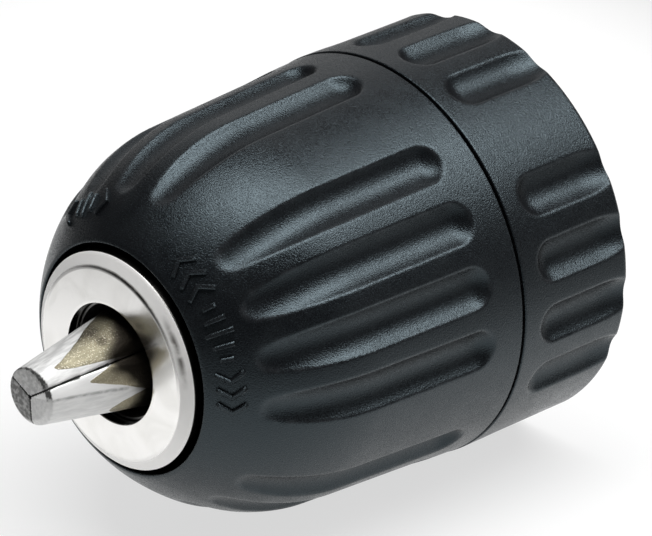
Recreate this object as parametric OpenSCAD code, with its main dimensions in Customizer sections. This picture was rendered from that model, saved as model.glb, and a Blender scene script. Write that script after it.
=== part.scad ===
// Keyless three-jaw drill chuck, two-sleeve type, 10 mm capacity.
// The chuck lies on its side: its axis is Y, the nose points to -Y, +Z is up.
// The origin is the centre of the rear seat, at the mouth of the spindle bore.
// Every sub-part is drawn standing on its rear seat, then laid down by lay().

/* [Chuck] */
// Distance from the rear seat to the front face of the nose ring
face_z = 43.8; // [43.7:0.1:44.2]
// Outside radius of the rear sleeve
rear_r = 18.5; // [18.3:0.1:18.8]
// Clocking of the first jaw about the axis, from +X towards +Z
clocking = 93.65; // [0:0.05:120]

/* [Sleeves] */
// Length of the fixed rear sleeve
rear_len = 12.6; // [12.4:0.1:12.7]
// Width of the dark line between the two sleeves
sleeve_gap = 0.25; // [0.2:0.05:0.4]
// Outside radius of the front sleeve at its rear edge
front_r = 18.42; // [18.3:0.02:18.5]
// Taper of the front sleeve's grip, in degrees
taper = 2.92; // [2.5:0.1:3.2]
// Distance from the rear seat to where the nose curve starts
curve_z = 28.7; // [28.4:0.1:29]
// Radius of the nose curve
curve_r = 18.92; // [18.7:0.01:19.1]
// Distance from the rear seat to the mouth of the front sleeve
mouth_z = 42.5; // [42.3:0.1:42.7]

/* [Grip flutes] */
// Groups of flutes round each sleeve
flute_groups = 4; // [3:1:4]
// Flutes in each group
flutes_per_group = 4; // [3:1:4]
// Angle between neighbouring flutes
flute_pitch = 18.3; // [17:0.1:19]
// Width of a flute
flute_w = 3.8; // [3.4:0.1:4]
// Depth of a flute
flute_depth = 1; // [0.7:0.1:1.1]
// Angle of the middle of the first group on the front sleeve
front_flute_angle = 23.9; // [0:0.1:90]
// Angle of the middle of the first group on the rear sleeve
rear_flute_angle = 4.9; // [0:0.1:90]

/* [Jaws] */
// Radius of a jaw
jaw_r = 3.1; // [3:0.05:3.15]
// Angle between a jaw and the chuck's axis
jaw_tilt = 15; // [14.8:0.1:15.2]
// Distance a jaw slides from closed to fully open
jaw_travel = 19.2; // [18:0.1:19.4]
// Pitch of the thread on the jaws, along the chuck's axis
thread_pitch = 1.5; // [1.4:0.1:1.6]

/* [Bearing] */
// Balls in the thrust bearing
ball_count = 24; // [16:1:28]
// Radius of a ball, 1/16 inch across
ball_r = 0.794; // [0.75:0.002:0.8]

/* [Spindle] */
// Radius of the spindle bore, for a 3/8 inch spindle
spindle_r = 4.7625; // [4.7625:0.01:4.8]
// Depth of the spindle bore
spindle_depth = 14; // [13:0.5:14.2]

/* [Hidden] */
$fn = 96;
over = 1;                    // how far a cutter runs past the solid it cuts
run = 0.08;                  // radial clearance of the turning sleeve on the body
jaw_play = 0.07;             // radial clearance of a jaw in its bore
jaw_count = 3;

// Steel body
hub_r = 9.2;
flange_r = 15.2;
flange_z0 = 10.5;
flange_z1 = 15.5;
neck_r = 12.7;
groove_r = 9;
groove_z0 = 20.1;
groove_z1 = 27.1;
nose_r = 11.6;
nose_z = 32.9;
tip_r = 8.9;
tip_z = 42.6;
tool_bore_r = 5.15;
screw_hole_r = 3.2;
web = 1.6;                   // wall between the spindle bore and the tool bore
edge = 0.5;                  // chamfer round the ring's hole

// Jaws: the slanted axis meets the chuck's axis at cross_z
tip_end = 52.7;
cross_z = 50.6;
jaw_rear_z = 21;
jaw_gap = 0.06;              // half of the gap between two closed jaws
grind_r = 2.66;              // radius of the ground cone at the tip
grind_angle = 9.7;
tip_bevel = 0.65;
tooth_depth = 0.6;
tooth_count = ceil(jaw_travel * cos(jaw_tilt) / thread_pitch);
nut_mid_z = 23.6;

// Bearing
track_r = 14;
bearing_in = 12.85;
bearing_out = 15.15;
race_t = 1.8;
race_half_gap = 0.6;         // from a race to the plane of the balls
ball_z = flange_z1 + race_t + race_half_gap;
front_race_z = ball_z + race_half_gap;
ball_play = 0.03;
cage_t = 0.8;
cage_trim = 0.1;

// Nut
nut_z0 = front_race_z + race_t;
nut_z1 = groove_z1 - 0.2;
nut_r = 15;
nut_seat_r = 14.2;           // where the band is pressed on
band_z0 = nut_z0 + 0.3;
band_z1 = 24;
nut_play = 0.06;
split_gap = 0.05;
key_count = 4;
key_w = 3;
key_r = 13.2;

// Sleeve insides
front_z0 = rear_len + sleeve_gap;
bowl_r = flange_r + 0.1;
bowl_z = groove_z1 + 0.2;
step_z = nose_z + 0.1;
lip_r = 10.3;
ring_r = 9.76;
ring_z0 = 37.1;
ring_hole_r = 5.4;
ring_round = 0.9;
rear_round = 0.5;
rear_web = 1.5;
jaw_room_r = 16.2;

// Flutes: a round cutter of flute_cut radius gives the width and the depth
flute_cut = (flute_w * flute_w / 4 + flute_depth * flute_depth) / (2 * flute_depth);
flute_lift = flute_cut - flute_depth;
front_flute_z = 18;
front_flute_sweep = 31;
flute_runout = 5;            // how much flatter the flute's curve is than the nose
rear_flute_z = rear_len - 3.9;
rear_bend_z = 3.2;           // from here to the rear edge the flutes curve outwards
rear_bend_r = 10;
rear_bend_sweep = 26;

curve_start_r = front_r - tan(taper) * (curve_z - front_z0);
curve_cz = curve_z - curve_r * sin(taper);
curve_cr = curve_start_r - curve_r * cos(taper);

function jaw_angle(i) = clocking + (i - 1) * 360 / jaw_count;
function reach(z) = (cross_z - z) * tan(jaw_tilt) + jaw_r / cos(jaw_tilt);
function two_digits(i) = i < 10 ? str("0", i) : str(i);
function ball_name(i) = str("ball_", two_digits(i));
function jaw_name(i) = str("jaw_", i);

BALL_NODES = [for (i = [1:ball_count]) ball_name(i)];
JAW_NODES = [for (i = [1:jaw_count]) jaw_name(i)];

// ---- Shared shapes ----

// Lays a part that stands on its rear seat down, nose towards -Y.
module lay() {
    rotate([90, 0, 0]) children();
}

// A plain ring from z0 to z1.
module ring(r_in, r_out, z0, z1) {
    difference() {
        translate([0, 0, z0]) cylinder(r = r_out, h = z1 - z0);
        translate([0, 0, z0 - over]) cylinder(r = r_in, h = z1 - z0 + 2 * over);
    }
}

// Moves a shape onto a jaw's slanted axis, which leans outwards to the rear.
module on_jaw_axis(i) {
    rotate([0, 0, jaw_angle(i)])
        translate([0, 0, cross_z])
            rotate([0, -jaw_tilt, 0]) children();
}

// A rod along a jaw's axis, between two stations of the chuck's axis.
module jaw_rod(i, r, z0, z1) {
    on_jaw_axis(i)
        translate([0, 0, (z0 - cross_z) / cos(jaw_tilt)])
            cylinder(r = r, h = (z1 - z0) / cos(jaw_tilt));
}

// Puts a shape at every flute of a sleeve.
module each_flute(start) {
    for (g = [0:flute_groups - 1])
        for (k = [0:flutes_per_group - 1])
            rotate([0, 0, start + g * 360 / flute_groups
                + (k - (flutes_per_group - 1) / 2) * flute_pitch]) children();
}

// ---- Housing: body, nose ring, rear sleeve ----

module body_blank() {
    cylinder(r = hub_r, h = flange_z0 + over);
    translate([0, 0, flange_z0]) cylinder(r = flange_r, h = flange_z1 - flange_z0);
    translate([0, 0, flange_z1 - over]) cylinder(r = neck_r, h = groove_z0 - flange_z1 + over);
    translate([0, 0, groove_z0 - over]) cylinder(r = groove_r, h = groove_z1 - groove_z0 + 2 * over);
    translate([0, 0, groove_z1]) cylinder(r = nose_r, h = nose_z - groove_z1);
    translate([0, 0, nose_z - over]) cylinder(r = tip_r, h = tip_z - nose_z + over);
}

module chuck_body() {
    color("silver") lay() difference() {
        body_blank();
        translate([0, 0, -over]) cylinder(r = spindle_r, h = spindle_depth + over);
        cylinder(r = screw_hole_r, h = tip_z);
        translate([0, 0, spindle_depth + web]) cylinder(r = tool_bore_r, h = tip_z);
        for (i = [1:jaw_count]) jaw_rod(i, jaw_r + jaw_play, 0, face_z + 2);
    }
}

module nose_ring() {
    color("whitesmoke") lay() difference() {
        rotate_extrude() {
            translate([ring_hole_r - over, ring_z0])
                square([ring_r - ring_hole_r + over, face_z - ring_round - ring_z0]);
            translate([ring_hole_r - over, ring_z0])
                square([ring_r - ring_round - ring_hole_r + over, face_z - ring_z0]);
            translate([ring_r - ring_round, face_z - ring_round]) circle(r = ring_round);
        }
        cylinder(r = tip_r, h = tip_z);
        cylinder(r = ring_hole_r, h = face_z + over);
        translate([0, 0, face_z - edge / 2])
            cylinder(r1 = ring_hole_r, r2 = ring_hole_r + edge, h = edge);
    }
}

// One flute: straight, then curving out towards the rear edge.
module rear_flute() {
    translate([rear_r + flute_lift, 0, rear_bend_z]) {
        cylinder(r = flute_cut, h = rear_flute_z - rear_bend_z);
        translate([0, 0, rear_flute_z - rear_bend_z]) sphere(r = flute_cut);
        rotate([0, 180, 0])
            translate([-rear_bend_r, 0, 0]) rotate([90, 0, 0])
                rotate_extrude(angle = rear_bend_sweep)
                    translate([rear_bend_r, 0]) circle(r = flute_cut);
    }
}

module rear_sleeve() {
    color("dimgray") lay() difference() {
        rotate_extrude() {
            translate([0, rear_round]) square([rear_r, rear_len - rear_round]);
            square([rear_r - rear_round, rear_len]);
            translate([rear_r - rear_round, rear_round]) circle(r = rear_round);
        }
        translate([0, 0, -over]) cylinder(r = hub_r, h = rear_len);
        translate([0, 0, rear_web]) cylinder(r = jaw_room_r, h = flange_z0 - rear_web);
        translate([0, 0, flange_z0 - over]) cylinder(r = flange_r, h = rear_len);
        each_flute(rear_flute_angle) rear_flute();
    }
}

// ---- Turning parts: front sleeve, split nut, band ----

// Half section of the front sleeve's outside.
module sleeve_outline() {
    polygon([
        [0, front_z0],
        [front_r, front_z0],
        [curve_start_r, curve_z],
        [0, curve_z]
    ]);
    intersection() {
        translate([curve_cr, curve_cz]) circle(r = curve_r, $fn = 180);
        translate([0, curve_z]) square([front_r, mouth_z - curve_z]);
    }
}

// One flute: straight along the taper, then curved over the nose.
module front_flute() {
    bend_r = curve_r + flute_lift + flute_runout;
    straight = (curve_z - front_flute_z) / cos(taper);
    translate([curve_start_r, 0, curve_z])
        rotate([0, -taper, 0])
            translate([flute_lift, 0, 0]) {
                translate([0, 0, -straight]) {
                    cylinder(r = flute_cut, h = straight);
                    sphere(r = flute_cut);
                }
                translate([-bend_r, 0, 0]) rotate([90, 0, 0]) {
                    rotate_extrude(angle = front_flute_sweep)
                        translate([bend_r, 0]) circle(r = flute_cut);
                    rotate([0, 0, front_flute_sweep])
                        translate([bend_r, 0, 0]) sphere(r = flute_cut);
                }
            }
}

module sleeve_keys() {
    for (i = [0:key_count - 1])
        rotate([0, 0, (i + 0.5) * 360 / key_count])
            translate([key_r, -key_w / 2, band_z1 + 0.2])
                cube([bowl_r + over / 4 - key_r, key_w, bowl_z - band_z1]);
}

module front_sleeve() {
    color("dimgray") lay() {
        difference() {
            rotate_extrude() sleeve_outline();
            translate([0, 0, front_z0 - over]) cylinder(r = bowl_r, h = bowl_z - front_z0 + over);
            translate([0, 0, bowl_z - over]) cylinder(r = nose_r + run, h = step_z - bowl_z + over);
            cylinder(r = tip_r + run, h = mouth_z);
            translate([0, 0, ring_z0 - 0.1]) cylinder(r = lip_r, h = mouth_z);
            each_flute(front_flute_angle) front_flute();
        }
        sleeve_keys();
    }
}

// The nut before it is split: a cone inside, slots for the sleeve's keys outside.
module whole_nut() {
    difference() {
        union() {
            translate([0, 0, nut_z0]) cylinder(r = nut_seat_r, h = nut_z1 - nut_z0);
            translate([0, 0, band_z1]) cylinder(r = nut_r, h = nut_z1 - band_z1);
        }
        translate([0, 0, nut_z0 - over])
            cylinder(
                r1 = reach(nut_z0 - over) + nut_play,
                r2 = reach(nut_z1 + over) + nut_play,
                h = nut_z1 - nut_z0 + 2 * over
            );
        for (k = [-1:2]) thread_groove(nut_mid_z + k * thread_pitch, 1);
        for (i = [0:key_count - 1])
            rotate([0, 0, (i + 0.5) * 360 / key_count])
                translate([key_r - nut_play, -key_w / 2 - nut_play, band_z1 + 0.1])
                    cube([nut_r, key_w + 2 * nut_play, nut_z1]);
    }
}

// A V-shaped ring cut: side is 1 for the nut's grooves, -1 for the jaws'.
module thread_groove(z, side) {
    r = reach(z) + (side > 0 ? nut_play : 0);
    rotate_extrude()
        polygon([
            [r - side * over / 4, z - thread_pitch * 0.36],
            [r - side * over / 4, z + thread_pitch * 0.36],
            [r + side * tooth_depth, z + thread_pitch * 0.12],
            [r + side * tooth_depth, z - thread_pitch * 0.12]
        ]);
}

// Half of the nut: side is 1 or -1.
module nut_half(side) {
    color("goldenrod") lay() intersection() {
        whole_nut();
        translate([-nut_r - over, side > 0 ? split_gap : -split_gap - nut_r - over, nut_z0 - over])
            cube([2 * (nut_r + over), nut_r + over, nut_z1 - nut_z0 + 2 * over]);
    }
}

module nut_half_1() {
    nut_half(1);
}

module nut_half_2() {
    nut_half(-1);
}

module nut_band() {
    color("slategray") lay() ring(nut_seat_r, nut_r, band_z0, band_z1);
}

// ---- Thrust bearing ----

module ball_track() {
    rotate_extrude() translate([track_r, ball_z]) circle(r = ball_r + ball_play);
}

module race_rear() {
    color("lightsteelblue") lay() difference() {
        ring(bearing_in, bearing_out, flange_z1, flange_z1 + race_t);
        ball_track();
    }
}

module race_front() {
    color("lightsteelblue") lay() difference() {
        ring(bearing_in, bearing_out, front_race_z, front_race_z + race_t);
        ball_track();
    }
}

// Puts a shape at ball i of the bearing.
module at_ball(i) {
    rotate([0, 0, i * 360 / ball_count]) translate([track_r, 0, ball_z]) children();
}

module ball_cage() {
    color("darkkhaki") lay() difference() {
        ring(
            bearing_in + cage_trim,
            bearing_out - cage_trim,
            ball_z - cage_t / 2,
            ball_z + cage_t / 2
        );
        for (i = [1:ball_count])
            at_ball(i) translate([0, 0, -over]) cylinder(r = ball_r + ball_play, h = 2 * over);
    }
}

module ball(i) {
    color("gainsboro") lay() at_ball(i) sphere(r = ball_r);
}

// ---- Jaws ----

// The ground cone and the bevelled tip that all three closed jaws share.
module ground_tip() {
    cone_h = tip_end - tip_bevel - jaw_rear_z;
    translate([0, 0, jaw_rear_z])
        cylinder(r1 = grind_r + cone_h * tan(grind_angle), r2 = grind_r, h = cone_h);
    translate([0, 0, tip_end - tip_bevel])
        cylinder(r1 = grind_r, r2 = grind_r - tip_bevel, h = tip_bevel);
}

// The third of a circle that one jaw may fill, clear of its two neighbours.
module jaw_sector(i) {
    side = 30;
    rotate([0, 0, jaw_angle(i)])
        translate([2 * jaw_gap / sqrt(3), 0, 0])
            linear_extrude(height = tip_end + over)
                polygon([[0, 0], [side / 2, side * sin(60)], [side, 0], [side / 2, -side * sin(60)]]);
}

// Thread grooves across the back of a jaw, moved a third of a pitch per jaw.
module jaw_teeth(i) {
    for (k = [0:tooth_count - 1]) {
        shift = k * thread_pitch - 1 + (i - 1) * thread_pitch / jaw_count;
        rotate([0, 0, jaw_angle(i)])
            translate([-shift * tan(jaw_tilt), 0, shift])
                thread_groove(nut_mid_z, -1);
    }
}

module jaw(i) {
    color("lightgray") lay() difference() {
        intersection() {
            jaw_rod(i, jaw_r, jaw_rear_z, tip_end + over);
            jaw_sector(i);
            union() {
                ground_tip();
                cylinder(r = 2 * nut_r, h = tip_z - 1.6);
            }
        }
        jaw_teeth(i);
    }
}

chuck_body();
nose_ring();
rear_sleeve();
front_sleeve();
nut_half_1();
nut_half_2();
nut_band();
race_rear();
race_front();
ball_cage();
for (i = [1:ball_count])
    ball(i);
for (i = [1:jaw_count])
    jaw(i);
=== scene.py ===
"""Keyless drill chuck lying on its side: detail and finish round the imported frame."""
import math

import bmesh
import bpy
import numpy as np
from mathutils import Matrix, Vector


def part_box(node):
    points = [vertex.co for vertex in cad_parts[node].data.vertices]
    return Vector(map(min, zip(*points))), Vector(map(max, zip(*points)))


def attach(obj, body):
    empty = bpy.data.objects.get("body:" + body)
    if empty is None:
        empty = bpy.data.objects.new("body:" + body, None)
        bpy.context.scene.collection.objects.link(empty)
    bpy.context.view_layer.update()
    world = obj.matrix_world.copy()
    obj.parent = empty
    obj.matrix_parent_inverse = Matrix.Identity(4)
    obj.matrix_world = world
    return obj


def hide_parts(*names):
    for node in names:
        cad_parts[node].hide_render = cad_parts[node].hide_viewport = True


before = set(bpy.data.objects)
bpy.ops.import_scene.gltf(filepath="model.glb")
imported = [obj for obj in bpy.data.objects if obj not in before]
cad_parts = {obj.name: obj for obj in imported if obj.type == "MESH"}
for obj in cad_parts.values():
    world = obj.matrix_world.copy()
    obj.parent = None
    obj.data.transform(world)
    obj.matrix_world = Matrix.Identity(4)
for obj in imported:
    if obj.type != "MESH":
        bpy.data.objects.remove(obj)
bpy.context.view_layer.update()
MM = 0.001


# ---- Places, from the frame ----

def span(node):
    """Nearest and farthest station of a node from the rear seat, in metres."""
    low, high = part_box(node)
    return -high.y, -low.y


FRONT_Z0, MOUTH_Z = span("front_sleeve")
REAR_Z0, REAR_Z1 = span("rear_sleeve")
FACE_Z = span("nose_ring")[1]
TIP_Z = span("jaw_1")[1]
REAR_R = 18.5 * MM
FLOOR_Z = -REAR_R


# ---- Camera ----

CAMERA_AZIMUTH, CAMERA_ELEVATION = 46.66, 25.83
CAMERA_LENS, CAMERA_DISTANCE = 331.3, 0.5258
AIM_LEFT, AIM_BELOW = 4.33 * MM, 1.18 * MM      # from the parting line's middle, in the view


def direction(azimuth, elevation):
    """Unit vector towards a camera at that azimuth and elevation, in degrees."""
    a, e = math.radians(azimuth), math.radians(elevation)
    return Vector((math.sin(a) * math.cos(e), -math.cos(a) * math.cos(e), math.sin(e)))


def make_camera():
    back = direction(CAMERA_AZIMUTH, CAMERA_ELEVATION)
    right = Vector((0, 0, 1)).cross(back).normalized()
    up = back.cross(right)
    parting = Vector((0, -(REAR_Z1 + FRONT_Z0) / 2, 0))
    aim = parting - right * AIM_LEFT - up * AIM_BELOW
    camera = bpy.data.objects.new("camera", bpy.data.cameras.new("camera"))
    bpy.context.scene.collection.objects.link(camera)
    camera.data.lens = CAMERA_LENS
    camera.data.sensor_width = 36
    camera.data.clip_start = 0.05
    camera.data.clip_end = 5
    camera.location = aim + back * CAMERA_DISTANCE
    camera.rotation_mode = "QUATERNION"
    camera.rotation_quaternion = back.to_track_quat("Z", "Y")
    bpy.context.scene.camera = camera


make_camera()


# ---- Mesh helpers ----

def new_piece(name, verts, faces, material, body, smooth=True):
    mesh = bpy.data.meshes.new(name)
    mesh.from_pydata([tuple(v) for v in verts], [], [tuple(f) for f in faces])
    work = bmesh.new()
    work.from_mesh(mesh)
    bmesh.ops.recalc_face_normals(work, faces=work.faces)
    work.to_mesh(mesh)
    work.free()
    mesh.polygons.foreach_set("use_smooth", [smooth] * len(mesh.polygons))
    mesh.materials.append(material)
    piece = bpy.data.objects.new(name, mesh)
    bpy.context.scene.collection.objects.link(piece)
    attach(piece, body)
    return piece


def add_attribute(piece, name, values):
    layer = piece.data.attributes.new(name, "FLOAT", "POINT")
    layer.data.foreach_set("value", np.asarray(values, np.float32).ravel())


def lay(x, y, z):
    """Points drawn standing on the rear seat, laid down with the nose to -Y."""
    return np.stack([x, -z, y], axis=-1)


def grid_faces(rows, columns, closed_rows):
    faces = []
    for i in range(rows if closed_rows else rows - 1):
        a, b = i * columns, ((i + 1) % rows) * columns
        for j in range(columns):
            k = (j + 1) % columns
            faces.append((a + j, a + k, b + k, b + j))
    return faces


def lathe(name, outline, columns, material, body, sink=None):
    """Turns a closed outline of (station, radius) rows; sink lowers the surface."""
    outline = np.asarray(outline, float)
    phi = np.arange(columns) * 2 * math.pi / columns
    z = np.repeat(outline[:, :1], columns, axis=1)
    r = np.repeat(outline[:, 1:2], columns, axis=1)
    if sink is not None:
        dz, dr = sink(phi)
        z, r = z + dz, r + dr
    verts = lay(r * np.cos(phi), r * np.sin(phi), z).reshape(-1, 3)
    return new_piece(name, verts, grid_faces(len(outline), columns, True), material, body)


def arc(cz, cr, radius, start, end, steps):
    """Points round a fillet; angles in degrees from the nose direction."""
    t = np.radians(np.linspace(start, end, steps))
    return np.stack([cz + radius * np.cos(t), cr + radius * np.sin(t)], axis=1)


def line(a, b, steps):
    """Points from a to b, without b."""
    return np.linspace(a, b, steps, endpoint=False)


# ---- Materials ----

class Finish:
    """A node material round one Principled shader."""

    def __init__(self, name, color, metallic=0.0, roughness=0.5, specular=0.5):
        self.material = bpy.data.materials.new(name)
        self.material.use_nodes = True
        self.tree = self.material.node_tree
        self.shader = self.tree.nodes["Principled BSDF"]
        self.set("Base Color", (*color, 1))
        self.set("Metallic", metallic)
        self.set("Roughness", roughness)
        self.set("Specular IOR Level", specular)
        self.coords = self.tree.nodes.new("ShaderNodeTexCoord").outputs["Object"]
        self.normal = None

    def set(self, socket, value):
        self.shader.inputs[socket].default_value = value

    def link(self, output, socket):
        self.tree.links.new(output, socket)

    def noise(self, scale, detail=3.0, stretch=(1, 1, 1), rough=0.5, distortion=0.0):
        mapping = self.tree.nodes.new("ShaderNodeMapping")
        mapping.inputs["Scale"].default_value = stretch
        self.link(self.coords, mapping.inputs["Vector"])
        node = self.tree.nodes.new("ShaderNodeTexNoise")
        node.inputs["Scale"].default_value = scale
        node.inputs["Detail"].default_value = detail
        node.inputs["Roughness"].default_value = rough
        node.inputs["Distortion"].default_value = distortion
        self.link(mapping.outputs["Vector"], node.inputs["Vector"])
        return node.outputs["Fac"]

    def place(self):
        """Station along the axis and distance from it, both in metres."""
        parts = self.tree.nodes.new("ShaderNodeSeparateXYZ")
        self.link(self.coords, parts.inputs[0])
        x, y, z = parts.outputs
        station = self.math("MULTIPLY", y, -1.0)
        square = self.math("MULTIPLY_ADD", z, z, self.math("MULTIPLY", x, x))
        return station, self.math("SQRT", square)

    def distance(self, location, scale, turn=0.0, kind="POINT"):
        """Distance from a place on the floor, measured longer or shorter along each axis."""
        mapping = self.tree.nodes.new("ShaderNodeMapping")
        mapping.vector_type = kind
        mapping.inputs["Location"].default_value = location
        mapping.inputs["Rotation"].default_value = (0, 0, math.radians(turn))
        mapping.inputs["Scale"].default_value = scale
        self.link(self.coords, mapping.inputs["Vector"])
        length = self.tree.nodes.new("ShaderNodeVectorMath")
        length.operation = "LENGTH"
        self.link(mapping.outputs["Vector"], length.inputs[0])
        return length.outputs["Value"]

    def attribute(self, name):
        node = self.tree.nodes.new("ShaderNodeAttribute")
        node.attribute_name = name
        return node.outputs["Fac"]

    def math(self, operation, a, b=0.0, c=0.0):
        node = self.tree.nodes.new("ShaderNodeMath")
        node.operation = operation
        for socket, value in zip(node.inputs, (a, b, c)):
            if isinstance(value, (int, float)):
                socket.default_value = value
            else:
                self.link(value, socket)
        return node.outputs[0]

    def remap(self, value, low, high, to_low, to_high):
        node = self.tree.nodes.new("ShaderNodeMapRange")
        node.interpolation_type = "SMOOTHSTEP"
        for name, number in zip(
            ("From Min", "From Max", "To Min", "To Max"), (low, high, to_low, to_high)
        ):
            node.inputs[name].default_value = number
        self.link(value, node.inputs["Value"])
        return node.outputs["Result"]

    def mix(self, fac, a, b):
        node = self.tree.nodes.new("ShaderNodeMix")
        node.data_type = "RGBA"
        for socket, value in zip(
            (node.inputs["Factor"], node.inputs[6], node.inputs[7]), (fac, a, b)
        ):
            if isinstance(value, (int, float)):
                socket.default_value = value
            elif isinstance(value, tuple):
                socket.default_value = (*value, 1)
            else:
                self.link(value, socket)
        return node.outputs[2]

    def bump(self, height, strength, distance):
        node = self.tree.nodes.new("ShaderNodeBump")
        node.inputs["Strength"].default_value = strength
        node.inputs["Distance"].default_value = distance
        self.link(height, node.inputs["Height"])
        if self.normal is not None:
            self.link(self.normal, node.inputs["Normal"])
        self.normal = node.outputs["Normal"]
        self.link(self.normal, self.shader.inputs["Normal"])

    def color(self, output):
        self.link(output, self.shader.inputs["Base Color"])

    def roughness(self, output):
        self.link(output, self.shader.inputs["Roughness"])


def grip_plastic(name):
    """Black glass-filled plastic with a spark-eroded grain and rubbed edges."""
    f = Finish(name, (0.008, 0.008, 0.009), roughness=0.4, specular=0.55)
    f.set("Specular Tint", (0.70, 0.90, 1.0, 1))
    grain = f.noise(8500, detail=1.5, rough=0.6)
    cloud = f.noise(260, detail=4)
    edge = f.attribute("edge")
    tone = f.mix(f.remap(cloud, 0.35, 0.65, 0, 1), (0.004, 0.004, 0.005), (0.006, 0.006, 0.007))
    rubbed = f.math("MULTIPLY", edge, f.remap(f.noise(900, detail=3), 0.35, 0.7, 0.1, 0.8))
    f.color(f.mix(rubbed, tone, (0.030, 0.032, 0.035)))
    rough = f.remap(f.noise(520, detail=5), 0.3, 0.7, 0.25, 0.33)
    speck = f.remap(grain, 0.3, 0.7, -0.12, 0.10)
    rough = f.math("MULTIPLY_ADD", rubbed, -0.08, f.math("ADD", rough, speck))
    f.roughness(rough)
    f.bump(cloud, 0.10, 0.00006)
    f.bump(grain, 1.0, 0.00004)
    return f.material


def plated_steel():
    """Nickel-plated steel with fingermarks and a satin shoulder; painted shade in the bore and on the
    side, and a painted dark reflection on the crease and shoulder.
    """
    f = Finish("plated_steel", (0.86, 0.86, 0.84), metallic=1.0, roughness=0.14)
    smear = f.noise(180, detail=5, distortion=1.0)
    fine = f.noise(2600, detail=3)
    plate = f.mix(f.remap(smear, 0.4, 0.75, 0, 1), (0.95, 0.94, 0.92), (0.86, 0.85, 0.82))
    satin = f.attribute("satin")
    plate = f.mix(satin, plate, (0.98, 0.97, 0.95))
    # painted shade: the bore wall and the ring's side beside the sleeve are darkened
    plate = f.mix(f.attribute("ring_painted_shade"), plate, (0.035, 0.033, 0.03))
    brushed = f.remap(f.noise(900, detail=3), 0.30, 0.60, 0.25, 1)
    # painted dark reflection on the crease and across the shoulder, broken up by streaky noise
    f.color(f.mix(f.math("MULTIPLY", f.attribute("painted_dark_reflection"), brushed), plate, (0.10, 0.09, 0.08)))
    f.link(f.math("MULTIPLY_ADD", satin, -0.92, 1.0), f.shader.inputs["Metallic"])
    polish_and_painted_light = f.remap(smear, 0.35, 0.7, 0.15, 0.27)
    f.roughness(f.math("MULTIPLY_ADD", satin, 0.25, polish_and_painted_light))
    f.bump(fine, 0.06, 0.00002)
    return f.material


def turned_steel(name, color, dark, roughness, grain=(1, 30, 1)):
    """Machined steel: fine tool marks across the axis, oil film in patches."""
    f = Finish(name, color, metallic=1.0, roughness=roughness)
    marks = f.noise(420, detail=3, stretch=grain)
    film = f.noise(240, detail=5)
    f.color(f.mix(f.remap(film, 0.4, 0.7, 0, 1), color, dark))
    f.roughness(f.remap(marks, 0.3, 0.7, roughness * 0.8, roughness * 1.35))
    f.bump(marks, 0.2, 0.00003)
    return f.material


def body_finish():
    """Turned steel, painted near-black inside the nose as shade, apart from one thin edge left light
    grey.
    """
    f = Finish("turned_body", (0.50, 0.50, 0.49), metallic=1.0, roughness=0.32)
    marks = f.noise(420, detail=3, stretch=(1, 30, 1))
    film = f.noise(240, detail=5)
    steel = f.mix(f.remap(film, 0.4, 0.7, 0, 1), (0.50, 0.50, 0.49), (0.34, 0.33, 0.32))
    station, radius = f.place()
    nose = f.remap(station, 36 * MM, 41 * MM, 0, 1)
    inside = f.remap(radius, 5.08 * MM, 5.16 * MM, 0, 1)
    outside = f.remap(radius, 5.28 * MM, 5.36 * MM, 1, 0)
    # painted shade inside the nose; only the thin edge at radius 5.1 to 5.4 mm keeps a light steel
    # grey
    painted_nose_shade = f.mix(f.math("MULTIPLY", inside, outside), (0.012, 0.011, 0.010), (0.42, 0.42, 0.41))
    f.color(f.mix(nose, steel, painted_nose_shade))
    f.roughness(f.remap(marks, 0.3, 0.7, 0.26, 0.43))
    f.bump(marks, 0.2, 0.00003)
    return f.material


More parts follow.
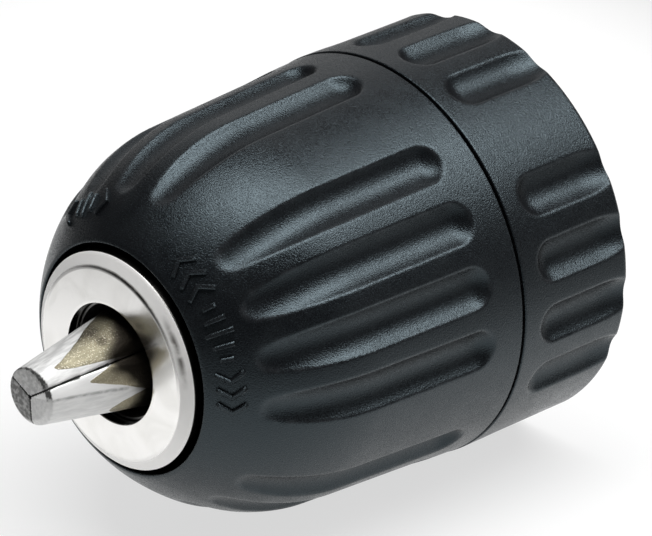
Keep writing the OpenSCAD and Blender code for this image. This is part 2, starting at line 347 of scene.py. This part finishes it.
def jaw_finish():
    """Ground steel nose; the blank behind the grinding is sandy and bronze, oiled in patches and
    darkened towards the hole with painted shade; the near jaw gets painted light.
    """
    f = Finish("jaw_steel", (0.40, 0.40, 0.39), metallic=1.0, roughness=0.4)
    streak = f.noise(1100, detail=4, stretch=(3, 0.3, 3))
    patch = f.noise(900, detail=4)
    cast = f.noise(330, detail=3)
    grit = f.noise(7000, detail=2, rough=0.6)
    ground = f.mix(f.remap(streak, 0.3, 0.7, 0, 1), (0.52, 0.52, 0.515), (0.78, 0.78, 0.77))
    # painted light: the near jaw is brightened all over, fully beyond its crease as a painted
    # highlight band beside the split
    polish_and_painted_light = f.attribute("polish_and_painted_light")
    ground = f.mix(polish_and_painted_light, ground, (0.97, 0.97, 0.96))
    mottle = f.remap(f.noise(2200, detail=3), 0.35, 0.6, 0.35, 1.0)
    # soot on the tip faces; painted shade in the split, the centre hole and along the near jaw's
    # crease; painted dark reflection on the bevel
    ground = f.mix(f.math("MULTIPLY", f.attribute("soot_and_painted_shade"), mottle), ground, (0.09, 0.09, 0.088))
    bronze = f.mix(f.remap(patch, 0.35, 0.65, 0, 1), (0.10, 0.088, 0.064), (0.20, 0.18, 0.13))
    bronze = f.mix(f.remap(cast, 0.44, 0.60, 0, 1), bronze, (0.24, 0.22, 0.155))
    sandy = f.mix(f.remap(grit, 0.54, 0.68, 0, 0.8), bronze, (0.56, 0.53, 0.43))
    # painted glints: the near jaw's raw blank is brightened too
    sandy = f.mix(f.math("MULTIPLY", polish_and_painted_light, 0.45), sandy, (0.72, 0.65, 0.47))
    ragged = f.math("MULTIPLY_ADD", patch, 0.5, f.math("ADD", f.attribute("blank"), -0.25))
    raw = f.remap(ragged, -0.05, 0.07, 0, 1)
    f.link(f.remap(raw, 0, 1, 0.42, 1.0), f.shader.inputs["Metallic"])
    # patches of oil with painted shade: darker towards the hole in the nose ring and near the split
    # in view
    oil_and_painted_shade = f.remap(f.math("MULTIPLY_ADD", cast, 0.7, f.attribute("oil_and_painted_shade")), 0.60, 1.20, 0, 1)
    f.color(f.mix(oil_and_painted_shade, f.mix(raw, ground, sandy), (0.035, 0.03, 0.024)))
    rough = f.remap(streak, 0.3, 0.7, 0.54, 0.68)
    f.roughness(f.math("MULTIPLY_ADD", raw, -0.10, rough))
    f.bump(streak, 0.12, 0.00003)
    f.bump(f.math("MULTIPLY", grit, raw), 0.9, 0.00006)
    return f.material


def polished_steel(name):
    """Bearing balls: near mirror with a faint haze."""
    f = Finish(name, (0.80, 0.80, 0.81), metallic=1.0, roughness=0.08)
    haze = f.noise(900, detail=4)
    f.roughness(f.remap(haze, 0.3, 0.7, 0.05, 0.14))
    f.color(f.mix(haze, (0.84, 0.84, 0.85), (0.72, 0.72, 0.74)))
    return f.material


def stamped_brass():
    """The ball cage: satin brass with darker patches of oil."""
    f = Finish("stamped_brass", (0.72, 0.53, 0.24), metallic=1.0, roughness=0.3)
    film = f.noise(500, detail=5)
    f.color(f.mix(f.remap(film, 0.35, 0.7, 0, 1), (0.78, 0.58, 0.27), (0.46, 0.32, 0.14)))
    f.roughness(f.remap(film, 0.3, 0.7, 0.24, 0.42))
    f.bump(f.noise(3000), 0.12, 0.00002)
    return f.material


def floor_finish():
    """Pale floor that glows in a painted pool of light round the chuck, and less close under it as a
    painted contact shadow.
    """
    f = Finish("studio_floor", (0.30, 0.30, 0.30), roughness=0.6, specular=0.1)
    f.color(f.mix(f.noise(6, detail=2), (0.30, 0.30, 0.30), (0.31, 0.31, 0.31)))
    f.set("Emission Color", (1, 1, 1, 1))
    away = f.distance((-0.025, -0.004, 0), (1.0, 1.5, 1), CAMERA_AZIMUTH, "TEXTURE")
    beside = f.distance((0, 0.026 * 0.35, 0), (1.0, 0.35, 1))
    # painted pool of light: the floor glows round the chuck
    lit = f.remap(away, 0.052, 0.096, 0.66, 0.0)
    # painted contact shadow: the glow drops close under the chuck
    outside_painted_shadow = f.remap(beside, 0.004, 0.014, 0.1, 1.0)
    f.link(f.math("MULTIPLY", lit, outside_painted_shadow), f.shader.inputs["Emission Strength"])
    return f.material


# ---- Sleeves ----

GRIP_COLUMNS = 840
CRISP = 0.04 * MM            # width of the tiny bevel at a turned corner
GROUPS, PER_GROUP = 4, 4
FLUTE_PITCH = math.radians(18.3)
FLUTE_HALF = 1.9 * MM
FLUTE_DEPTH = 1.0 * MM
FLUTE_CUT = (FLUTE_HALF**2 + FLUTE_DEPTH**2) / (2 * FLUTE_DEPTH)
SHOULDER = 0.055 * MM        # softness of a flute's edge

FRONT_R = 18.42 * MM
TAPER = math.radians(2.92)
CURVE_Z = 28.7 * MM
CURVE_R = 18.92 * MM
CURVE_START_R = FRONT_R - math.tan(TAPER) * (CURVE_Z - FRONT_Z0)
CURVE_CZ = CURVE_Z - CURVE_R * math.sin(TAPER)
CURVE_CR = CURVE_START_R - CURVE_R * math.cos(TAPER)
LIP_R = 10.3 * MM
BOWL_R = 15.3 * MM
FRONT_FLUTES_AT, REAR_FLUTES_AT = 23.9, 4.9     # middle of one group, degrees from +X to +Z
EDGE_WIDTH = 0.16 * MM       # width of the rubbed band along a flute's edge
NO_FLUTE = -1 * MM
OFF_GRIP = -1.0              # the distance s of a row that isn't on the grip's outside


def crisp(a, b, steps):
    """A straight stretch that leaves a tiny bevel at both of its corners."""
    a, b = np.array(a, float), np.array(b, float)
    step = (b - a) / np.linalg.norm(b - a) * CRISP
    return np.linspace(a + step, b - step, steps)


def flute_angles(middle):
    """Angles of the flutes, from +X towards +Z."""
    return [
        math.radians(middle + g * 360 / GROUPS) + (k - (PER_GROUP - 1) / 2) * FLUTE_PITCH
        for g in range(GROUPS)
        for k in range(PER_GROUP)
    ]


def flute_level(across, beyond, depth):
    """Depth of a round cutter at a distance from its path; negative outside it."""
    q = np.hypot(across, beyond)
    edge_q = FLUTE_HALF * 1.15
    inner = np.sqrt(FLUTE_CUT**2 - np.minimum(q, edge_q) ** 2) - (FLUTE_CUT - depth)
    slope = -edge_q / math.sqrt(FLUTE_CUT**2 - edge_q**2)
    return inner + slope * np.maximum(q - edge_q, 0)


def soft_positive(x, e):
    return (x + np.sqrt(x * x + 4 * e * e)) / 2


def nearest_flute(phi, middle):
    """Signed angle from each direction to the nearest flute."""
    best = np.full(len(phi), 9.0)
    for a in flute_angles(middle):
        d = (phi - a + math.pi) % (2 * math.pi) - math.pi
        best = np.where(np.abs(d) < np.abs(best), d, best)
    return best


def curve_point(s):
    """Station and radius at a distance s past the start of the nose curve."""
    t = math.pi / 2 - TAPER - s / CURVE_R
    return CURVE_CZ + CURVE_R * np.cos(t), CURVE_CR + CURVE_R * np.sin(t), t


def front_outline():
    """Closed outline, with each row's distance s along the grip and its slope angle."""
    fillet, lip_round = 0.12 * MM, 0.14 * MM
    throat_z, throat_r = (33.0 * MM, 37.0 * MM), 8.98 * MM
    pocket_z, pocket_r = 27.3 * MM, 11.68 * MM
    rear_edge = arc(FRONT_Z0 + fillet, FRONT_R - fillet, fillet, 180, 90 - 2.9, 7)
    straight = (CURVE_Z - FRONT_Z0 - fillet) / math.cos(TAPER)
    s_straight = np.linspace(-straight, 0, 84)[1:-1]
    straight_rows = np.stack(
        [CURVE_Z + s_straight * math.cos(TAPER), CURVE_START_R - s_straight * math.sin(TAPER)], axis=1
    )
    end_angle = math.acos((MOUTH_Z - 0.1 * MM - CURVE_CZ) / CURVE_R)
    s_curve = np.linspace(0, (math.pi / 2 - TAPER - end_angle) * CURVE_R, 88)
    z, r, slope = curve_point(s_curve)
    curve_rows = np.stack([z, r], axis=1)
    lip = arc(MOUTH_Z - lip_round, LIP_R + lip_round, lip_round, 20, -90, 7)
    inner = np.concatenate([
        crisp((MOUTH_Z - 0.2 * MM, LIP_R), (throat_z[1], LIP_R), 4),
        crisp((throat_z[1], LIP_R), (throat_z[1], throat_r), 3),
        crisp((throat_z[1], throat_r), (throat_z[0], throat_r), 3),
        crisp((throat_z[0], throat_r), (throat_z[0], pocket_r), 3),
        crisp((throat_z[0], pocket_r), (pocket_z, pocket_r), 3),
        crisp((pocket_z, pocket_r), (pocket_z, BOWL_R), 3),
        crisp((pocket_z, BOWL_R), (FRONT_Z0, BOWL_R), 6),
        crisp((FRONT_Z0, BOWL_R), (FRONT_Z0, FRONT_R - fillet), 4),
    ])
    rows = np.concatenate([rear_edge, straight_rows, curve_rows, lip, inner])
    s = np.full(len(rows), 1.0 * OFF_GRIP)
    angle = np.full(len(rows), math.pi / 2)
    first, second = len(rear_edge), len(rear_edge) + len(s_straight)
    s[first:second] = s_straight
    angle[first:second] = math.pi / 2 - TAPER
    s[second:second + len(s_curve)] = s_curve
    angle[second:second + len(s_curve)] = slope
    return rows, s, angle


def make_front_grip(material):
    rows, s, angle = front_outline()
    start = (18.0 * MM - CURVE_Z) / math.cos(TAPER)
    end = math.radians(31) * CURVE_R
    runout = 5 * MM
    level = {}

    def sink(phi):
        off = nearest_flute(phi, FRONT_FLUTES_AT)
        across = rows[:, 1:2] * off[None, :]
        beyond = np.maximum(start - s, 0) + np.maximum(s - end, 0) / 1.25
        depth = FLUTE_DEPTH - runout * (1 - np.cos(np.maximum(s, 0) / CURVE_R))
        x = flute_level(across, beyond[:, None], depth[:, None])
        x = np.where((s > OFF_GRIP)[:, None], x, NO_FLUTE)
        f = soft_positive(x, SHOULDER) - soft_positive(NO_FLUTE, SHOULDER)
        level["edge"] = np.exp(-((x / EDGE_WIDTH) ** 2))
        return -f * np.cos(angle)[:, None], -f * np.sin(angle)[:, None]

    piece = lathe(
        "front_grip", rows, GRIP_COLUMNS, material, "turning_sleeve", sink
    )
    add_attribute(piece, "edge", level["edge"])
    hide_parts("front_sleeve")


def make_rear_grip(material):
    fillet, rear_round = 0.12 * MM, 0.5 * MM
    hub_r, room_r, flange_r = 9.2 * MM, 16.2 * MM, 15.2 * MM
    dish_z, dish_inner_r, dish_outer_r, slant = REAR_Z0 + 0.35 * MM, 10.6 * MM, 15.5 * MM, 0.3 * MM
    web_z, flange_z = REAR_Z0 + 1.5 * MM, 10.5 * MM
    rows = np.concatenate([
        crisp((REAR_Z0, hub_r), (REAR_Z0, dish_inner_r), 3),
        crisp((REAR_Z0, dish_inner_r), (dish_z, dish_inner_r + slant), 3),
        crisp((dish_z, dish_inner_r + slant), (dish_z, dish_outer_r - slant), 5),
        crisp((dish_z, dish_outer_r - slant), (REAR_Z0, dish_outer_r), 3),
        crisp((REAR_Z0, dish_outer_r), (REAR_Z0, REAR_R - rear_round), 4),
        arc(REAR_Z0 + rear_round, REAR_R - rear_round, rear_round, 180, 90, 12),
        line((REAR_Z0 + rear_round, REAR_R), (REAR_Z1 - fillet, REAR_R), 56)[1:],
        arc(REAR_Z1 - fillet, REAR_R - fillet, fillet, 90, 0, 7),
        crisp((REAR_Z1, REAR_R - fillet), (REAR_Z1, flange_r), 4),
        crisp((REAR_Z1, flange_r), (flange_z, flange_r), 3),
        crisp((flange_z, flange_r), (flange_z, room_r), 3),
        crisp((flange_z, room_r), (web_z, room_r), 4),
        crisp((web_z, room_r), (web_z, hub_r), 4),
        crisp((web_z, hub_r), (REAR_Z0, hub_r), 3),
    ])
    outer = (rows[:, 1] > room_r + 0.1 * MM) & (rows[:, 0] < REAR_Z1 - 0.01 * MM)
    end, bend_z, bend_r = 8.7 * MM, 3.2 * MM, 10 * MM
    rise = bend_r - np.sqrt(bend_r**2 - np.maximum(bend_z - rows[:, 0:1], 0) ** 2)
    level = {}

    def sink(phi):
        off = nearest_flute(phi, REAR_FLUTES_AT)
        across = REAR_R * np.repeat(off[None, :], len(rows), axis=0)
        beyond = np.maximum(rows[:, 0:1] - end, 0)
        x = flute_level(across, beyond, FLUTE_DEPTH - rise) - (REAR_R - rows[:, 1:2])
        x = np.where(outer[:, None], x, NO_FLUTE)
        f = soft_positive(x, SHOULDER) - soft_positive(NO_FLUTE, SHOULDER)
        level["edge"] = np.exp(-((x / EDGE_WIDTH) ** 2))
        return np.zeros_like(f), -f

    piece = lathe("rear_grip", rows, GRIP_COLUMNS, material, "housing", sink)
    add_attribute(piece, "edge", level["edge"])
    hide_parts("rear_sleeve")


MARK_HALF, MARK_TOP, MARK_FOOT, MARK_BEVEL = 0.20 * MM, 0.30 * MM, -0.10 * MM, 0.09 * MM


def chevron(at, sign):
    """Middle line of an arrowhead that points round the chuck; places in mm."""
    return [(at, -1.25), (at + sign * 0.8, 0), (at, 1.25)]


def bar(at, half):
    return [(at, -half), (at, half)]


def make_marks(name, middle, along_nose, strokes, material):
    """Raised strokes on the nose: arrowheads for the direction and plain bars."""
    verts, faces = [], []
    mark_r = curve_point(along_nose)[1]
    for stroke in strokes:
        path = np.array(stroke, float) * MM
        points = [
            path[i] + (path[i + 1] - path[i]) * t
            for i in range(len(path) - 1)
            for t in np.linspace(0, 1, 9)[(1 if i else 0):]
        ]
        ends = np.diff(points, axis=0)
        first, last = len(verts), len(points) - 1
        for i, point in enumerate(points):
            before, after = ends[max(i - 1, 0)], ends[min(i, last - 1)]
            before, after = before / np.hypot(*before), after / np.hypot(*after)
            along = (before + after) / np.hypot(*(before + after))
            wide = np.array([along[1], -along[0]]) / max(along @ after, 0.4)
            top = MARK_TOP - (MARK_BEVEL if i in (0, last) else 0)
            crown = MARK_HALF - MARK_BEVEL
            for across, height in (
                (-MARK_HALF, MARK_FOOT), (-MARK_HALF, top - MARK_BEVEL), (-crown, top),
                (crown, top), (MARK_HALF, top - MARK_BEVEL), (MARK_HALF, MARK_FOOT),
            ):
                a, b = point + wide * across
                z, r, slope = curve_point(along_nose + b)
                phi = math.radians(middle) - a / mark_r
                r, z = r + height * math.sin(slope), z + height * math.cos(slope)
                verts.append((r * math.cos(phi), -z, r * math.sin(phi)))
        faces += [tuple(first + k for k in face) for face in grid_faces(last + 1, 6, False)]
        faces.append(tuple(range(first, first + 6)))
        faces.append(tuple(range(first + last * 6, first + last * 6 + 6)))
    piece = new_piece(name, verts, faces, material, "turning_sleeve", smooth=False)
    add_attribute(piece, "edge", [0.35] * len(verts))


# ---- Nose ring ----

def ring_painted_reflection(r, columns, crease_r):
    """Painted dark reflection along one stretch of the crease, and a painted dark smear below it
    across the shoulder.
    """
    smear_r, crease_width, smear_width = 9.16 * MM, 0.11 * MM, 0.26 * MM
    turn = np.degrees(np.arange(columns) * 2 * math.pi / columns)
    along_crease = np.clip((42 - np.abs(turn - 72)) / 30, 0, 1)
    along_smear = np.clip((22 - np.abs(turn - 26)) / 16, 0, 1)
    on_crease = np.clip(1.4 - np.abs(r - crease_r) / crease_width, 0, 1)
    on_smear = np.clip(1.2 - np.abs(r - smear_r) / smear_width, 0, 1)
    return np.maximum(along_crease * on_crease, 0.9 * along_smear * on_smear)


def make_nose_ring(material):
    """Flat plated face, a crease, and a satin shoulder that turns down to the side."""
    ring_r, hole_r, seat_r = 9.76 * MM, 5.4 * MM, 8.9 * MM
    back, seat = 37.1 * MM, 42.6 * MM
    crease_r, drop, rim, small = 8.72 * MM, 0.72 * MM, 0.20 * MM, 0.10 * MM
    crease = 0.06 * MM
    rows = np.concatenate([
        crisp((back, ring_r), (FACE_Z - drop - rim, ring_r), 6),
        arc(FACE_Z - drop - rim, ring_r - rim, rim, 90, 38, 7),
        line((FACE_Z - drop, ring_r - 0.10 * MM), (FACE_Z - 0.08 * MM, crease_r + 0.03 * MM), 14)[1:],
        [(FACE_Z - crease, crease_r), (FACE_Z - crease, crease_r - 0.04 * MM)],
        line((FACE_Z, crease_r - 0.10 * MM), (FACE_Z, hole_r + small), 14),
        arc(FACE_Z - small, hole_r + small, small, 0, -90, 7),
        crisp((FACE_Z - small, hole_r), (seat, hole_r), 4),
        crisp((seat, hole_r), (seat, seat_r), 4),
        crisp((seat, seat_r), (back, seat_r), 4),
        crisp((back, seat_r), (back, ring_r), 3),
    ])
    columns = 256
    piece = lathe("nose_ring_plated", rows, columns, material, "housing")
    z, r = rows[:, 0], rows[:, 1]
    bore = (r < hole_r + 0.03 * MM) & (z < FACE_Z - small)
    side = (r > ring_r - 0.02 * MM) & (z < FACE_Z - drop)
    shoulder = (r > crease_r + 0.01 * MM) & ~side
    # painted shade on the bore wall and, a little less, on the ring's side
    add_attribute(piece, "ring_painted_shade", np.repeat(bore + 0.9 * side, columns))
    add_attribute(piece, "satin", np.repeat(shoulder.astype(float), columns))
    # painted dark reflection along part of the crease and across the shoulder
    painted_dark_reflection = ring_painted_reflection(r[:, None], columns, crease_r)
    add_attribute(piece, "painted_dark_reflection", (painted_dark_reflection * (z[:, None] > seat)).ravel())
    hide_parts("nose_ring")


# ---- Jaws ----

TILT = math.radians(15)
CROSS_Z = 50.6 * MM
JAW_R = 3.1 * MM
JAW_GAP = 0.045 * MM
JAW_REAR_Z = 21.0 * MM
GRIND_R, GRIND_Z, GRIND_ANGLE = 2.66 * MM, TIP_Z - 0.65 * MM, math.radians(9.7)
BEVEL_R, BEVEL_SHIFT = 2.20 * MM, 0.225 * MM
BEVEL_TOWARDS = 170          # the bevel's middle lies off the axis in this direction, in degrees
BEVEL_SPREAD = 2.0           # the bevel's gain in radius over its length
CENTRE_HOLE_R = 0.17 * MM
THREAD_PITCH, TOOTH_DEPTH, TOOTH_COUNT = 1.5 * MM, 0.6 * MM, 13
NUT_MID_Z = 23.6 * MM


def soft_max(a, b, k):
    return np.maximum(a, b) + np.maximum(k - np.abs(a - b), 0) ** 2 / (4 * k)


def jaw_reach(z):
    return (CROSS_Z - z) * math.tan(TILT) + JAW_R / math.cos(TILT)


def bevel_level(x, y, z, angle):
    """Negative inside the slightly off-centre bevel around the closed tips."""
    turn = math.radians(BEVEL_TOWARDS - angle)
    from_bevel = np.hypot(x - BEVEL_SHIFT * math.cos(turn), y - BEVEL_SHIFT * math.sin(turn))
    return (from_bevel - BEVEL_R - BEVEL_SPREAD * (TIP_Z - z)) / math.hypot(1, BEVEL_SPREAD)


def jaw_level(p, index, angle):
    """Negative inside a jaw that leans towards +X; the points are (x, y, station)."""
    x, y, z = p[..., 0], p[..., 1], p[..., 2]
    along = -math.sin(TILT) * x + math.cos(TILT) * (z - CROSS_Z)
    off = np.sqrt(np.maximum(x * x + y * y + (z - CROSS_Z) ** 2 - along**2, 0))
    radius = np.hypot(x, y)
    soft = 0.04 * MM
    level = off - JAW_R
    cone = (radius - GRIND_R - (GRIND_Z - z) * math.tan(GRIND_ANGLE)) * math.cos(GRIND_ANGLE)
    cone = np.where(z > 41 * MM, cone, -3 * MM)
    level = soft_max(level, cone, 0.02 * MM)
    sector = JAW_GAP - (x * math.sin(math.pi / 3) - np.abs(y) / 2)
    level = soft_max(level, sector, soft)
    level = soft_max(level, CENTRE_HOLE_R - radius, soft)
    level = soft_max(level, bevel_level(x, y, z, angle), soft)
    level = soft_max(level, z - TIP_Z, 0.04 * MM)
    rear = (JAW_REAR_Z - CROSS_Z) / math.cos(TILT) - along
    level = soft_max(level, rear, 0.4 * MM)
    shift = np.round((z - NUT_MID_Z + 1 * MM - (index - 1) * THREAD_PITCH / 3) / THREAD_PITCH)
    shift = np.clip(shift, 0, TOOTH_COUNT - 1)
    shift = shift * THREAD_PITCH - 1 * MM + (index - 1) * THREAD_PITCH / 3
    from_groove = np.abs(z - NUT_MID_Z - shift)
    home = np.hypot(x + shift * math.tan(TILT), y)
    depth = jaw_reach(NUT_MID_Z) - home
    wall = TOOTH_DEPTH * np.clip((0.36 * THREAD_PITCH - from_groove) / (0.24 * THREAD_PITCH), 0, 1)
    groove = (wall - depth) * 0.9
    return soft_max(level, groove, 0.03 * MM)


def jaw_rays():
    """Start points and directions of rays that cover a jaw from tip to tail."""
    columns = 120
    psi = np.arange(columns) * 2 * math.pi / columns
    top, bottom = TIP_Z - 1.1 * MM, JAW_REAR_Z + 2.6 * MM
    stations = np.concatenate([
        np.linspace(top, 42.5 * MM, 66, endpoint=False),
        np.linspace(42.5 * MM, bottom, 150),
    ])
    over, under = np.linspace(90, 0, 34)[1:-1], np.linspace(0, -90, 30)[1:]
    lifts = np.concatenate([over, [0] * len(stations), under])
    z = np.concatenate([[top] * len(over), stations, [bottom] * len(under)])
    x = np.maximum((CROSS_Z - z) * math.tan(TILT), 1.3 * MM + (TIP_Z - z) * 0.13)
    starts = np.zeros((len(z), columns, 3))
    starts[..., 0], starts[..., 2] = x[:, None], z[:, None]
    lift = np.radians(lifts)[:, None]
    rays = np.stack([
        np.cos(lift) * np.cos(psi), np.cos(lift) * np.sin(psi), np.sin(lift) * np.ones_like(psi)
    ], axis=-1)
    return starts, rays


def blank_edge(side, near):
    """How far forward the unground blank shows, in mm, at an angle from the jaw's middle."""
    if near:
        upper = np.minimum(44.2 + 0.165 * (side - 18), 48.7 - 0.16 * np.maximum(side - 47, 0) ** 1.12)
        return np.maximum(upper, 46.2 - 0.0035 * (side + 16) ** 2)
    inner = 46.9 + 0.105 * side + 0.0013 * side * np.abs(side)
    outer = 50.95 - 0.00159 * np.maximum(side - 28, 0) ** 2.445
    return np.minimum(inner, outer)


def jaw_surface(index, angle):
    """Where each ray leaves the jaw, found by halving."""
    starts, rays = jaw_rays()
    low, high = np.zeros(starts.shape[:2]), np.full(starts.shape[:2], 9 * MM)
    for _ in range(34):
        mid = (low + high) / 2
        inside = jaw_level(starts + rays * mid[..., None], index, angle) < 0
        low, high = np.where(inside, mid, low), np.where(inside, high, mid)
    return starts + rays * low[..., None]


def wear_jaw(piece, x, y, z, angle, lean, near, soot_and_painted_shade, bevel_painted_reflection):
    """Where the jaw is raw, sooty and oiled, and where painted shade, a painted dark reflection and
    painted light lie; side grows towards the split in view.
    """
    side = np.degrees(np.arctan2(y, x)) * lean
    add_attribute(piece, "blank", np.clip(blank_edge(side, near) - z / MM, -3, 3))
    on_face = z > TIP_Z - 0.06 * MM
    # painted dark reflection on the bevel round the tips
    on_bevel = (np.abs(bevel_level(x, y, z, angle)) < 0.03 * MM) & (z > TIP_Z - 1.2 * MM) & ~on_face
    if near:
        on_bevel = on_bevel & (side > 38)
    crease = 22 + 2.1 * (z / MM - 45.9)
    # painted shade along the crease on the near jaw
    crease_line = near * np.clip(1 - np.abs(side - crease) / 3, 0, 1) * (z > 45 * MM) * ~on_face
    # painted shade: the split between the jaws and the centre hole are darkened fully
    in_split = x * math.sin(math.pi / 3) - np.abs(y) / 2 < JAW_GAP + 0.006 * MM
    in_split = in_split | (np.hypot(x, y) < CENTRE_HOLE_R + 0.02 * MM)
    outside = soot_and_painted_shade * on_face + bevel_painted_reflection * on_bevel + 0.6 * crease_line
    add_attribute(piece, "soot_and_painted_shade", np.where(in_split, 3.0, outside))
    # painted light on the near jaw: 0.4 all over, full beyond the crease
    add_attribute(piece, "polish_and_painted_light", near * np.clip((side - crease - 1) / 3, 0.4, 1))
    # oil with painted shade: darker deeper towards the hole, reaching further forward near the split
    # in view
    oil_and_shade_to = 43.6 + 2.6 * np.clip((side - 5) / 45, 0, 1)
    add_attribute(piece, "oil_and_painted_shade", np.clip((oil_and_shade_to - z / MM) / 2.6 + 0.5, 0, 1))


def make_jaw(index, angle, lean, near, soot_and_painted_shade, bevel_painted_reflection, material):
    """One jaw from its level function; near picks the wear, painted light and painted shade of the
    jaw nearest the camera.
    """
    p = jaw_surface(index, angle)
    rows, columns = p.shape[:2]
    first, last = p[0].mean(axis=0), p[-1].mean(axis=0)
    x, y, z = np.concatenate([p.reshape(-1, 3), [first, last]]).T
    faces = grid_faces(rows, columns, False)
    tip, tail = rows * columns, rows * columns + 1
    faces += [(tip, j, (j + 1) % columns) for j in range(columns)]
    start = (rows - 1) * columns
    faces += [(tail, start + j, start + (j + 1) % columns) for j in range(columns)]
    c, s = math.cos(math.radians(angle)), math.sin(math.radians(angle))
    verts = lay(x * c - y * s, x * s + y * c, z)
    piece = new_piece(f"jaw_{index}_ground", verts, faces, material, f"jaw_{index}")
    wear_jaw(piece, x, y, z, angle, lean, near, soot_and_painted_shade, bevel_painted_reflection)
    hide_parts(f"jaw_{index}")


# ---- Spindle thread ----

def make_spindle_thread(material):
    """Right-hand thread ridge inside the spindle bore."""
    pitch, wall, crest = 25.4 / 24 * MM, 4.80 * MM, 4.26 * MM
    first, last, per_turn = 0.7 * MM, 13.3 * MM, 72
    steps = int((last - first) / pitch * per_turn)
    verts = []
    for i in range(steps + 1):
        turn = i / per_turn
        fade = min(1, turn * 1.6, (steps - i) / per_turn * 1.6)
        peak = wall + (crest - wall) * fade
        z, phi = first + turn * pitch, turn * 2 * math.pi
        for dz, r in ((-0.46, wall), (-0.07, peak), (0.07, peak), (0.46, wall)):
            verts.append((r * math.cos(phi), -(z + dz * pitch), r * math.sin(phi)))
    faces = grid_faces(steps + 1, 4, False)
    faces += [(0, 1, 2, 3), tuple(range(steps * 4, steps * 4 + 4))]
    new_piece("spindle_thread_ridge", verts, faces, material, "housing", smooth=False)


# ---- Studio ----

def area_light(name, towards, distance, size, power, tint=(1, 1, 1)):
    light = bpy.data.lights.new(name, "AREA")
    light.shape = "RECTANGLE"
    light.size, light.size_y = size
    light.energy = power
    light.color = tint
    lamp = bpy.data.objects.new(name, light)
    bpy.context.scene.collection.objects.link(lamp)
    lamp.location = Vector(towards).normalized() * distance + Vector((0, -0.02, 0))
    lamp.rotation_mode = "QUATERNION"
    lamp.rotation_quaternion = Vector(towards).normalized().to_track_quat("Z", "Y")


def make_studio():
    size = 3.0
    mesh = bpy.data.meshes.new("studio_floor")
    corners = [(-size, -size), (size, -size), (size, size), (-size, size)]
    mesh.from_pydata([(x, y, FLOOR_Z) for x, y in corners], [], [(0, 1, 2, 3)])
    mesh.materials.append(floor_finish())
    floor = bpy.data.objects.new("studio_floor", mesh)
    bpy.context.scene.collection.objects.link(floor)
    area_light("softbox_top", (0.15, 0.18, 0.97), 0.9, (0.42, 1.26), 12.4)
    area_light("softbox_right", (0.58, 0.50, 0.64), 1.0, (0.5, 0.6), 0.8)
    area_light("softbox_back", (-0.70, 0.55, 0.40), 1.0, (0.8, 0.8), 0.9)
    world = bpy.data.worlds.new("studio")
    bpy.context.scene.world = world
    world.use_nodes = True
    world.node_tree.nodes["Background"].inputs["Color"].default_value = (1, 1, 1, 1)
    world.node_tree.nodes["Background"].inputs["Strength"].default_value = 0.08
    bpy.context.scene.view_settings.view_transform = "Standard"


# ---- Assembly ----

def finish_frame():
    """Gives every CAD node that stays its material."""
    body = body_finish()
    race = turned_steel("ground_race", (0.62, 0.62, 0.62), (0.48, 0.48, 0.48), 0.18)
    band = turned_steel("drawn_band", (0.55, 0.55, 0.56), (0.38, 0.38, 0.40), 0.28)
    nut = turned_steel("sintered_nut", (0.36, 0.35, 0.34), (0.20, 0.19, 0.18), 0.46, (1, 1, 1))
    ball = polished_steel("polished_ball")
    finishes = {
        "chuck_body": body, "race_rear": race, "race_front": race, "nut_band": band,
        "nut_half_1": nut, "nut_half_2": nut, "ball_cage": stamped_brass(),
    }
    for name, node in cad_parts.items():
        material = ball if name.startswith("ball_") and name != "ball_cage" else finishes.get(name)
        if material:
            node.data.materials.clear()
            node.data.materials.append(material)
    return body


body_material = finish_frame()
grip_material = grip_plastic("grip_plastic")
jaw_material = jaw_finish()
make_front_grip(grip_material)
make_rear_grip(grip_plastic("rear_grip_plastic"))
turning_marks = [chevron(-6.3, -1), chevron(-4.9, -1), chevron(-3.5, -1)]
turning_marks += [bar(-2.3, 0.6), bar(-1.15, 0.95), bar(0, 1.25), bar(1.15, 0.95), bar(2.3, 0.6)]
turning_marks += [chevron(3.5, 1), chevron(4.9, 1), chevron(6.3, 1)]
make_marks("turning_marks", 28.5, 13.7 * MM, turning_marks, grip_material)
jaw_marks = [chevron(-2.0, -1), bar(-0.9, 0.9), bar(0.1, 1.25), bar(1.1, 0.9), chevron(2.2, 1)]
make_marks("jaw_marks", 122.5, 12.3 * MM, jaw_marks, grip_material)
make_nose_ring(plated_steel())
CLOCKING = 93.65
# after lean and near: soot on the tip face, then the painted dark reflection on the bevel
make_jaw(1, CLOCKING, -1, False, 0.15, 1.0, jaw_material)
make_jaw(2, CLOCKING + 120, 1, False, 0.8, 0.3, jaw_material)
make_jaw(3, CLOCKING + 240, 1, True, 0.05, 1.1, jaw_material)
make_spindle_thread(body_material)
make_studio()
